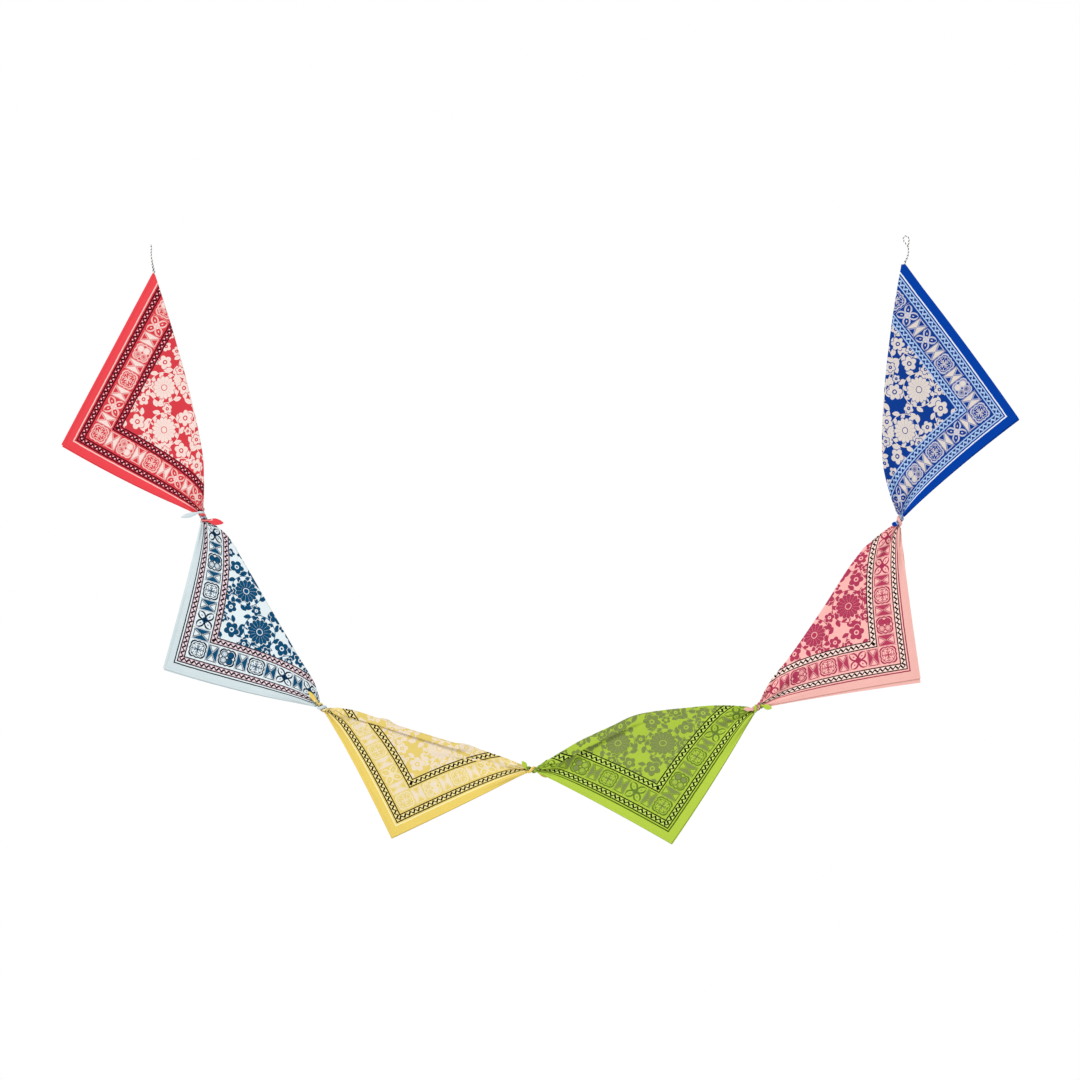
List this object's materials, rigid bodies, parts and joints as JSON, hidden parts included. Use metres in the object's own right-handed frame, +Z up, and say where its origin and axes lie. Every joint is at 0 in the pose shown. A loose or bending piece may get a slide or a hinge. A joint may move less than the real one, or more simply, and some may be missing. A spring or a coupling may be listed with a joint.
{
  "type": "fabric bunting",
  "caption": "Garland of printed cotton bandanas folded into triangles, tied corner to corner in a deep swag, with a small twisted cord loop at each end to hang it by.",
  "frame": {"origin": "midway between the tops of the two hanging loops", "axes": "+X right along the garland, +Y into the wall behind it, +Z up; the printed fronts face -Y"},
  "size_m": [2.6828, 0.0254, 1.7058],
  "materials": {
    "red_cotton": "plain-woven cotton, border printed in cream and maroon",
    "light_blue_cotton": "plain-woven cotton, border printed in mid blue and dark maroon",
    "yellow_cotton": "plain-woven cotton, border printed in pale beige and dark brown",
    "green_cotton": "plain-woven cotton, border printed in grey green and black green",
    "pink_cotton": "plain-woven cotton, border printed in rose and near black",
    "blue_cotton": "plain-woven cotton, border printed in greige and light blue",
    "twisted_cord": "two-ply twisted cotton cord, one ply black and one white"
  },
  "bodies": {
    "root": {"bandana_red": "red_cotton", "bandana_light_blue": "light_blue_cotton", "bandana_yellow": "yellow_cotton", "bandana_green": "green_cotton", "bandana_pink": "pink_cotton", "bandana_blue": "blue_cotton", "loop_left": "twisted_cord", "loop_right": "twisted_cord"}
  },
  "joints": []
}
